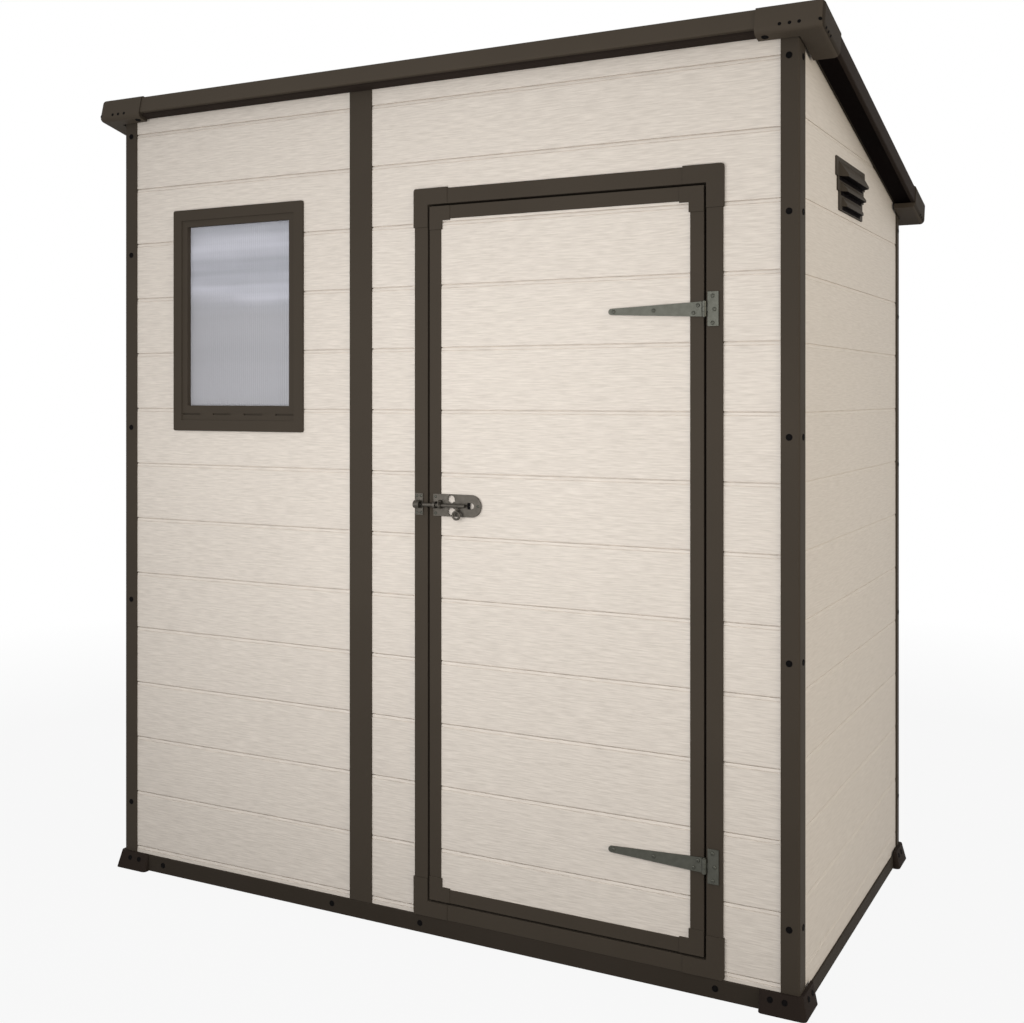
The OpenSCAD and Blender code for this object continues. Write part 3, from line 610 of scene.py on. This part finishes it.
front, back = Vector((0, -1, 0)), Vector((0, 1, 0))
for nodeName in ("window_wall", "latch_side_wall", "hinge_side_wall", "over_door_wall"):
    plankWall(nodeName, front, frontLines, frontGroove, frontPlank, "shed")
plankWall("door_panel", front, frontLines, frontGroove, frontPlank, "door")
for nodeName in ("rear_wall_left", "rear_wall_right"):
    plankWall(nodeName, back, frontLines, frontGroove, frontPlank, "shed")
plankWall("left_wall", Vector((-1, 0, 0)), sideLines, sideGroove, sidePlank, "shed")
plankWall("right_wall", Vector((1, 0, 0)), sideLines, sideGroove, sidePlank, "shed")
print("planked walls ready")


# brown trim: softened edges on the solids, widths in millimetres
trimEdges = {
    "floor_panel": 1.0, "front_rail": 1.5, "rear_rail": 1.5, "side_rails": 1.5, "corner_feet": 0.0,
    "front_post_left": 0.9, "front_post_right": 0.9, "rear_post_left": 0.8, "rear_post_right": 0.8,
    "front_middle_post": 1.5, "rear_middle_post": 1.5, "window_frame": 0.8,
    "latch_jamb": 0.8, "hinge_jamb": 0.8, "door_head": 0.8, "door_threshold": 0.8, "surround_corners": 0.5,
    "roof_panel_left": 1.0, "roof_panel_right": 1.0, "roof_joint_strip": 1.0, "roof_front_edge": 0.0,
    "roof_rear_edge": 0.0, "roof_side_edges": 0.0, "roof_corner_caps": 0.0,
    "latch_stile": 0.8, "hinge_stile": 0.8, "door_rails": 0.8, "door_corners": 0.5,
}
softEdge = {"sharpAngle": 35, "segments": 2, "profile": 0.5, "smoothAngle": 17}


def bevel(bm, edges, width, segments, clamp):
    bmesh.ops.bevel(bm, geom=edges, offset=width, offset_type="OFFSET", segments=segments,
                    profile=softEdge["profile"], affect="EDGES", clamp_overlap=clamp)


def soften(bm, width):
    sharp = [e for e in bm.edges if e.calc_face_angle(0) > math.radians(softEdge["sharpAngle"])]
    bevel(bm, sharp, width, softEdge["segments"], True)


def softCopy(nodeName, material, width):
    bm = copyNode(nodeName)
    if width > 0:
        soften(bm, width * mm)
    obj = toObject(bm, pieceName(nodeName), material)
    smooth(obj, softEdge["smoothAngle"])
    return obj


# place of the tilted roof: its lower front edge, and the heights of its soffits and lips square to it
roofFrame = {"front": -0.533635, "lift": 1.90410, "pitch": 13.5, "length": 1.08787,
             "soffit": 0.0065, "soffitSlack": 0.001, "lip": 0.0024}
roofCos, roofSin = math.cos(math.radians(roofFrame["pitch"])), math.sin(math.radians(roofFrame["pitch"]))


# point of the tilted roof: down the slope from the front edge, and square to it
def onRoof(x, down, up):
    y = roofFrame["front"] + down * roofCos + up * roofSin
    return (x, y, roofFrame["lift"] - down * roofSin + up * roofCos)


def heightOnRoof(point):
    return (point.y - roofFrame["front"]) * roofSin + (point.z - roofFrame["lift"]) * roofCos


# which way a face of the roof's edges looks, by a part of its normal, to pick the faces that get painted
# shade
roofFacing = {"sideways": 0.7, "upward": 0.6, "downward": -0.9}


# painted shade on the caps: the faces that look sideways get the darker base resin
def pickCapFace(polygon):
    return int(abs(polygon.normal.x) > roofFacing["sideways"])


# painted shade on the front and rear edges: the faces below the lip get the darker underside resin
def pickCrossFace(polygon):
    return int(heightOnRoof(polygon.center) < roofFrame["lip"])


# painted shade on the side edges: the recessed downward soffit faces get the near-black resin, and the other
# faces that don't look up get the darker underside resin
def pickSideFace(polygon):
    recessed = heightOnRoof(polygon.center) > roofFrame["soffit"] - roofFrame["soffitSlack"]
    if recessed and polygon.normal.z < roofFacing["downward"]:
        return 2  # the soffit's number
    return int(polygon.normal.z < roofFacing["upward"])


# painted light on the roof's edges and caps, painted shade on the rails and feet, and painted shade on the
# faces picked below
otherTrim = {"roof_front_edge": edgeResin, "roof_rear_edge": edgeResin, "roof_side_edges": edgeResin,
             "roof_corner_caps": edgeResin, "front_rail": baseResin, "rear_rail": baseResin,
             "side_rails": baseResin, "corner_feet": undersideResin}
otherFaces = {"roof_front_edge": ((undersideResin,), pickCrossFace),
              "roof_rear_edge": ((undersideResin,), pickCrossFace),
              "roof_side_edges": ((undersideResin, soffitResin), pickSideFace),
              "roof_corner_caps": ((baseResin,), pickCapFace)}
doorNodes = set(frame["record"]["behaviour"]["bodies"]["door"])
for nodeName, width in trimEdges.items():
    obj = softCopy(nodeName, otherTrim.get(nodeName, brownResin), width)
    if nodeName in otherFaces:
        paintFaces(obj, *otherFaces[nodeName])
    settle(obj, "door" if nodeName in doorNodes else "shed", "brown_resin", nodeName)
print("trim ready")


# louvre vents: stepped plates with bowed hoods, with painted shade as dark blocks in the slots under the
# hoods, as a dark sheet behind them, and on the hoods' downward faces
# feet, rises and outs go from the highest hood to the lowest
vents = {
    "feet": (0.042, 0.073, 0.104), "rises": (0.034, 0.022, 0.022), "outs": (0.018, 0.014, 0.010),
    "step": 0.013, "plate": 0.003, "corner": 0.004, "cornerSteps": 4, "soft": 0.0007, "slack": 1e-5,
    "hoodInset": 0.022, "hoodSink": 0.0005, "lip": 0.005, "slant": 0.9,
    "slot": 0.007, "slotInset": 0.005, "slotPlate": 0.0008,
    "shadeSheetInset": 0.015, "shadeSheetBehind": 0.0012, "screen": 0.0008,
    "downward": -0.7, "smoothAngle": 25,
}


def addBlock(bm, middle, size):
    shape = Matrix.Translation(middle) @ Matrix.Diagonal((*size, 1))
    return bmesh.ops.create_cube(bm, size=1.0, matrix=shape)["verts"]


# rounds a plate's corners at one height, along the edges that run through its thickness
def roundCorners(bm, plate, height):
    level = [v for v in plate if abs(v.co.z - height) < vents["slack"]]
    edges = dict.fromkeys(e for v in level for e in v.link_edges)
    through = [e for e in edges if abs(e.verts[0].co.x - e.verts[1].co.x) > vents["slack"]]
    bevel(bm, through, vents["corner"], vents["cornerSteps"], False)


def addHood(bm, side, x0, middle, half, out, top, foot):
    slanted, x1 = half - out * vents["slant"], x0 + out
    rows = ((x0, half, top), (x1, slanted, foot + vents["lip"]), (x1, slanted, foot), (x0, half, foot))
    left, right = [[bm.verts.new((side * x, middle + end * reach, z)) for x, reach, z in rows]
                   for end in (-1, 1)]
    for i in range(len(rows) - 1):
        bm.faces.new((left[i], right[i], right[i + 1], left[i + 1]))
    bm.faces.new(left)
    bm.faces.new(list(reversed(right)))
    bm.faces.new((left[-1], right[-1], right[0], left[0]))


def makeVents():
    low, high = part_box("wall_vents")
    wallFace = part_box("right_wall")[1].x
    face = wallFace + vents["plate"]
    middle, last = (low.y + high.y) / 2, len(vents["feet"]) - 1
    plates, ventShade = bmesh.new(), bmesh.new()
    for side in (-1, 1):
        top = high.z
        for i, (drop, rise, out) in enumerate(zip(vents["feet"], vents["rises"], vents["outs"])):
            foot = high.z - drop
            end = foot if i < last else low.z
            half = (high.y - low.y) / 2 - i * vents["step"]
            plate = addBlock(plates, (side * (wallFace + face) / 2, middle, (top + end) / 2),
                             (vents["plate"], 2 * half, top - end))
            if i in (0, last):
                roundCorners(plates, plate, end if i else top)
            hoodHalf = half - vents["hoodInset"]
            addHood(plates, side, face - vents["hoodSink"], middle, hoodHalf, out, foot + rise, foot)
            # a block of painted shade in the slot under each hood
            addBlock(ventShade, (side * face, middle, foot - vents["slot"] / 2),
                     (vents["slotPlate"], 2 * (hoodHalf - vents["slotInset"]), vents["slot"]))
            top = foot
        # a sheet of painted shade behind the vent
        inset = 2 * vents["shadeSheetInset"]
        addBlock(ventShade, (side * (wallFace - vents["shadeSheetBehind"]), middle, (low.z + high.z) / 2),
                 (vents["screen"], high.y - low.y - inset, high.z - low.z - inset))
    bmesh.ops.recalc_face_normals(plates, faces=plates.faces)
    soften(plates, vents["soft"])
    obj = toObject(plates, "wallVents", brownResin)
    # painted shade: the downward faces get the near-black resin
    paintFaces(obj, (soffitResin,), lambda polygon: int(polygon.normal.z < vents["downward"]))
    smooth(obj, vents["smoothAngle"])
    settle(obj, "shed", "brown_resin", "wall_vents")
    settle(toObject(ventShade, "ventSlots", soffitResin), "shed", "brown_resin")


makeVents()
print("vents ready")


# hinges, latch and roof beam, with the width of their softened edges in millimetres
metalPieces = {
    "hinge_plates": (zincSteel, "shed"), "hinge_straps": (zincSteel, "door"),
    "roof_beam": (zincSteel, "shed"), "latch_keeper": (latchSteel, "shed"),
    "latch_plate": (latchSteel, "door"), "latch_bolt": (latchSteel, "bolt"),
}
metalEdge = 0.35
for nodeName, (material, body) in metalPieces.items():
    settle(softCopy(nodeName, material, metalEdge), body, "zinc_steel", nodeName)


# a ring round one guide of the bolt, an arch over the other, and a near-black block of painted shadow beside
# the padlock hole
latchWires = ({"place": 0.008, "radius": 0.0062, "wire": 0.0013, "closed": True},
              {"place": 0.022, "radius": 0.0110, "wire": 0.0016, "closed": False})
wireSteps = {"segments": 32, "sides": 10, "smoothAngle": 60}
padlockSlot = {"place": 0.0906, "size": (0.0066, 0.0008, 0.0145)}
hardware = {"hinge": 0.003, "latch": 0.0025}  # how far the plates' faces stand off the door


def addWire(bm, start, axisY, axisZ, shape):
    segments, sides = wireSteps["segments"], wireSteps["sides"]
    rows = []
    for i in range(segments if shape["closed"] else segments // 2 + 1):
        turn = fullTurn * i / segments
        row = []
        for j in range(sides):
            roll = fullTurn * j / sides
            reach = shape["radius"] + shape["wire"] * math.cos(roll)
            x = start + shape["place"] + shape["wire"] * math.sin(roll)
            row.append(bm.verts.new((x, axisY + reach * math.cos(turn), axisZ + reach * math.sin(turn))))
        rows.append(row)
    if shape["closed"]:
        rows.append(rows[0])
    else:
        bm.faces.new(rows[0])
        bm.faces.new(rows[-1])
    for row, after in zip(rows, rows[1:]):
        for j in range(sides):
            k = (j + 1) % sides
            bm.faces.new((row[j], row[k], after[k], after[j]))


def makeLatchRings():
    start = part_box("latch_plate")[0].x
    boltLow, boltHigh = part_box("latch_bolt")
    keeperLow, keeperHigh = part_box("latch_keeper")
    axisY, axisZ = (boltLow.y + boltHigh.y) / 2, (keeperLow.z + keeperHigh.z) / 2
    bm = bmesh.new()
    for shape in latchWires:
        addWire(bm, start, axisY, axisZ, shape)
    bmesh.ops.recalc_face_normals(bm, faces=bm.faces)
    rings = toObject(bm, "latchRings", latchSteel)
    smooth(rings, wireSteps["smoothAngle"])
    settle(rings, "door", "zinc_steel")
    # painted shadow in the padlock hole: a thin near-black block on the plate's face
    slot = bmesh.new()
    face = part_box("latch_stile")[0].y - hardware["latch"]
    addBlock(slot, (start + padlockSlot["place"], face, axisZ), padlockSlot["size"])
    settle(toObject(slot, "padlockSlot", blackScrew), "door", "zinc_steel")


makeLatchRings()
print("metal ready")


# window pane with fine upright ribs
paneRibs = {"pitch": 0.0062, "height": 0.0007, "steps": 6, "smoothAngle": 60}


def makePaneTree():
    tree, given, result = newGroup(
        "paneRibs", "GeometryNodeTree",
        {"Geometry": ("Geometry",), "Float": ("Pitch", "Height", "Face"), "Material": ("Material",)},
        {"Geometry": ("Geometry",)})
    take = given.outputs
    place = split(tree, addNode(tree, "GeometryNodeInputPosition").outputs[0])
    turn = times(tree, calc(tree, "DIVIDE", place["X"], take["Pitch"]), fullTurn)
    wave = stretch(tree, calc(tree, "SINE", turn), (-1.0, 1.0))
    inward = times(tree, times(tree, wave, take["Height"]), nearFace(tree, place["Y"], take["Face"]))
    finishTree(tree, given, result, movePoints(tree, given, vector(tree, 0.0, inward, 0.0)))
    return tree


def makePane():
    low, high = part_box("window_pane")
    bm = copyNode("window_pane")
    step = paneRibs["pitch"] / paneRibs["steps"]
    x = low.x + step
    while x < high.x - step / 2:
        cutAcross(bm, (x, 0, 0), (1, 0, 0))
        x += step
    obj = toObject(bm, "windowPane", milkyPane)
    addModifier(obj, makePaneTree(), {"Pitch": paneRibs["pitch"], "Height": paneRibs["height"],
                                      "Face": low.y, "Material": milkyPane})
    applyNodes(obj)
    smooth(obj, paneRibs["smoothAngle"])
    settle(obj, "shed", "window_pane", "window_pane")


makePane()
print("window pane ready")


# screw heads for a radius of 1 mm: points of each profile, and the cross that is cut into the dome
headShapes = {
    "pocket": ((1.0, 0.0), (1.0, 0.10), (0.93, 0.16), (0.82, 0.12), (0.76, 0.02), (0.5, 0.02), (0.46, 0.09),
               (0.2, 0.12), (0.0, 0.12)),
    "dome": ((1.0, 0.0), (1.0, 0.14), (0.93, 0.3), (0.76, 0.43), (0.5, 0.51), (0.0, 0.53)),
    "segments": 16, "crossArms": ((0.22, 1.04), (1.04, 0.22)), "crossMiddle": 0.5, "crossDepth": 0.5,
    "smoothAngle": 40,
}


def revolve(profile, segments):
    bm = bmesh.new()
    rings = []
    for radius, height in profile:
        turns = [fullTurn * i / segments for i in range(segments)] if radius > 0 else [0.0]
        rings.append([bm.verts.new((radius * math.cos(t), radius * math.sin(t), height)) for t in turns])
    for lower, upper in zip(rings, rings[1:]):
        for i in range(segments):
            j = (i + 1) % segments
            top = (upper[0],) if len(upper) == 1 else (upper[j], upper[i])
            bm.faces.new((lower[i], lower[j], *top))
    bm.faces.new(list(reversed(rings[0])))
    bmesh.ops.recalc_face_normals(bm, faces=bm.faces)
    return bm


def makeHead(kind, material):
    profile = [(radius * mm, height * mm) for radius, height in headShapes[kind]]
    return toObject(revolve(profile, headShapes["segments"]), kind + "Head", material)


def cutCross(head):
    cross = bmesh.new()
    for width, length in headShapes["crossArms"]:
        addBlock(cross, (0, 0, headShapes["crossMiddle"] * mm),
                 (width * mm, length * mm, headShapes["crossDepth"] * mm))
    cutter = toObject(cross, "crossCutter", blackScrew)
    cut = head.modifiers.new("cross", "BOOLEAN")
    cut.operation, cut.solver, cut.object, cut.use_self = "DIFFERENCE", "EXACT", cutter, True
    applyNodes(head)
    bpy.data.objects.remove(cutter)


def namedValue(tree, name, kind):
    node = addNode(tree, "GeometryNodeInputNamedAttribute", data_type=kind)
    node.inputs["Name"].default_value = name
    return node.outputs["Attribute"]


# sets a head on each point, facing the way and in the size that the point says, with a random twist
def makeScrewTree():
    tree, given, result = newGroup(
        "screwHeads", "GeometryNodeTree",
        {"Geometry": ("Geometry",), "Object": ("Head",), "Int": ("Seed",), "Material": ("Material",)},
        {"Geometry": ("Geometry",)})
    points = addNode(tree, "GeometryNodeMeshToPoints")
    plug(tree, given.outputs["Geometry"], points.inputs["Mesh"])
    head = addNode(tree, "GeometryNodeObjectInfo", transform_space="ORIGINAL")
    plug(tree, given.outputs["Head"], head.inputs["Object"])
    align = addNode(tree, "FunctionNodeAlignRotationToVector", axis="Z")
    plug(tree, namedValue(tree, "facing", "FLOAT_VECTOR"), align.inputs["Vector"])
    chance = addNode(tree, "FunctionNodeRandomValue", data_type="FLOAT")
    chance.inputs[randomFloat["highest"]].default_value = fullTurn
    plug(tree, given.outputs["Seed"], chance.inputs["Seed"])
    twist = addNode(tree, "FunctionNodeAxisAngleToRotation")
    twist.inputs["Axis"].default_value = (0, 0, 1)
    plug(tree, chance.outputs[randomFloat["result"]], twist.inputs["Angle"])
    rotate = addNode(tree, "FunctionNodeRotateRotation", rotation_space="LOCAL")
    plug(tree, align.outputs[0], rotate.inputs[0])
    plug(tree, twist.outputs[0], rotate.inputs[1])
    place = addNode(tree, "GeometryNodeInstanceOnPoints")
    plug(tree, points.outputs[0], place.inputs["Points"])
    plug(tree, head.outputs["Geometry"], place.inputs["Instance"])
    plug(tree, rotate.outputs[0], place.inputs["Rotation"])
    plug(tree, namedValue(tree, "size", "FLOAT"), place.inputs["Scale"])
    finishTree(tree, given, result, place.outputs[0])
    return tree


screwTree = makeScrewTree()


# each point is a place, a facing and a size
def makeScrews(name, body, slot, points, head, material, seed):
    mesh = bpy.data.meshes.new(name)
    mesh.from_pydata([place for place, facing, size in points], [], [])
    mesh.attributes.new("facing", "FLOAT_VECTOR", "POINT")
    mesh.attributes.new("size", "FLOAT", "POINT")
    for i, (place, facing, size) in enumerate(points):  # fetched by name, since new layers move the old ones
        mesh.attributes["facing"].data[i].vector = facing
        mesh.attributes["size"].data[i].value = size
    obj = bpy.data.objects.new(name, mesh)
    scene.collection.objects.link(obj)
    addModifier(obj, screwTree, {"Head": head, "Seed": seed, "Material": material})
    applyNodes(obj)
    smooth(obj, headShapes["smoothAngle"])
    settle(obj, body, slot)


# radii of the heads in millimetres
screwSizes = {"pocket": 6.6, "foot": 6.0, "dimple": 3.6, "sideDimple": 2.88, "capHole": 7.0,
              "hinge": 4.1, "latch": 3.2}
postScrews = {"front": (1.855, 1.554, 1.117, 0.680, 0.166), "rear": (1.622, 1.40, 1.02, 0.64, 0.166),
              "inset": 0.021, "frontAlong": 0.0247, "rearAlong": 0.014}


def postPoints():
    points = []
    pocket, inset = screwSizes["pocket"], postScrews["inset"]
    frontLow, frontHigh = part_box("front_post_right")
    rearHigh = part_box("rear_post_right")[1]
    frontAlong, rearAlong = frontLow.y + postScrews["frontAlong"], rearHigh.y - postScrews["rearAlong"]
    for side in (-1, 1):
        for z in postScrews["front"]:
            points.append(((side * (frontHigh.x - inset), frontLow.y, z), (0, -1, 0), pocket))
            points.append(((side * frontHigh.x, frontAlong, z), (side, 0, 0), pocket))
        for z in postScrews["rear"]:
            points.append(((side * (rearHigh.x - inset), rearHigh.y, z), (0, 1, 0), pocket))
            points.append(((side * rearHigh.x, rearAlong, z), (side, 0, 0), pocket))
    return points


# on the rails, and on the feet that lean out from them
railScrews = {"across": (-0.742, -0.227, 0.012, 0.699), "height": 0.021}
footScrews = {"across": (0.813, 0.842), "along": (0.027, 0.056), "out": 0.0100, "height": 0.028,
              "facing": (0.978, 0.209)}


def basePoints():
    points = []
    pocket, foot = screwSizes["pocket"], screwSizes["foot"]
    railFront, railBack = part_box("front_rail")[0].y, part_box("rear_rail")[1].y
    for x in railScrews["across"]:
        points.append(((x, railFront, railScrews["height"]), (0, -1, 0), pocket))
        points.append(((-x, railBack, railScrews["height"]), (0, 1, 0), pocket))
    out, level = footScrews["out"], footScrews["height"]
    outward, upward = footScrews["facing"]
    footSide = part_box("front_post_right")[1].x + out
    for side in (-1, 1):
        for x in footScrews["across"]:
            points.append(((side * x, railFront - out, level), (0, -outward, upward), foot))
            points.append(((side * x, railBack + out, level), (0, outward, upward), foot))
        for y in footScrews["along"]:
            points.append(((side * footSide, railFront + y, level), (side * outward, 0, upward), foot))
            points.append(((side * footSide, railBack - y, level), (side * outward, 0, upward), foot))
    return points


# dimples on the fronts and low on the sides of the roof's caps, and a hole under each
capScrews = {"front": (0.007, 0.047, 0.0655, 0.085), "frontUp": 0.0035, "side": (0.026, 0.043, 0.060),
             "sideTurn": 25, "holeInset": 0.118, "holeDown": 0.019, "foot": -0.010, "round": 0.012}


def capPoints():
    points = []
    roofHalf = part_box("roof_corner_caps")[1].x
    length, foot, radius = roofFrame["length"], capScrews["foot"], capScrews["round"]
    turn = math.radians(capScrews["sideTurn"])
    sideInset, sideUp = radius * (1 - math.cos(turn)), foot + radius * (1 - math.sin(turn))
    for side in (-1, 1):
        for inset in capScrews["front"]:
            lean = math.asin(max(0, radius - inset) / radius)
            setBack = radius * (1 - math.cos(lean))
            facing = Vector((side * math.sin(lean), -math.cos(lean) * roofCos, math.cos(lean) * roofSin))
            for down, end in ((setBack, 1), (length - setBack, -1)):
                place = onRoof(side * (roofHalf - inset), down, capScrews["frontUp"])
                points.append((place, (facing.x, end * facing.y, end * facing.z), screwSizes["dimple"]))
        low = (side * math.cos(turn), -math.sin(turn) * roofSin, -math.sin(turn) * roofCos)
        for inset in capScrews["side"]:
            for down in (inset, length - inset):
                place = onRoof(side * (roofHalf - sideInset), down, sideUp)
                points.append((place, low, screwSizes["sideDimple"]))
        for down in (capScrews["holeDown"], length - capScrews["holeDown"]):
            place = onRoof(side * (roofHalf - capScrews["holeInset"]), down, foot)
            points.append((place, (0, -roofSin, -roofCos), screwSizes["capHole"]))
    return points


# screws of hinges: places across the shed, with the height from the middle of the hinge
# screws of the latch: insets from the plate's ends, places on the keeper, and the height from the middle
hingeScrews = {"heights": (1.370, 0.263), "plate": ((0.695, 0.026), (0.699, -0.001), (0.695, -0.028)),
               "strap": ((0.482, 0), (0.570, 0), (0.6645, 0.0075), (0.655, -0.0075))}
latchScrews = {"start": 0.006, "end": 0.008, "rise": 0.0185, "keeper": (0.0065, 0.0175)}


def hardwarePoints():
    plates, straps = [], []
    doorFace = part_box("latch_stile")[0].y
    face = doorFace - hardware["hinge"]
    for z in hingeScrews["heights"]:
        for points, places in ((plates, hingeScrews["plate"]), (straps, hingeScrews["strap"])):
            for x, rise in places:
                points.append(((x, face, z + rise), (0, -1, 0), screwSizes["hinge"]))
    face = doorFace - hardware["latch"]
    latchLow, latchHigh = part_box("latch_plate")
    middle, rise = (latchLow.z + latchHigh.z) / 2, latchScrews["rise"]
    start, end = latchLow.x + latchScrews["start"], latchHigh.x - latchScrews["end"]
    for x, z in ((start, middle + rise), (start, middle - rise), (end, middle)):
        straps.append(((x, face, z), (0, -1, 0), screwSizes["latch"]))
    for z in (middle + rise, middle - rise):
        for x in latchScrews["keeper"]:
            plates.append(((x, face, z), (0, -1, 0), screwSizes["latch"]))
    return plates, straps


pocketHead, domeHead = makeHead("pocket", blackScrew), makeHead("dome", zincSteel)
cutCross(domeHead)
shedPoints = postPoints() + basePoints() + capPoints()
platePoints, strapPoints = hardwarePoints()
makeScrews("screwPockets", "shed", "brown_resin", shedPoints, pocketHead, blackScrew, seed=3)
makeScrews("plateScrews", "shed", "zinc_steel", platePoints, domeHead, zincSteel, seed=5)
makeScrews("strapScrews", "door", "zinc_steel", strapPoints, domeHead, zincSteel, seed=7)
for head in (pocketHead, domeHead):
    bpy.data.objects.remove(head)
print("screws ready")
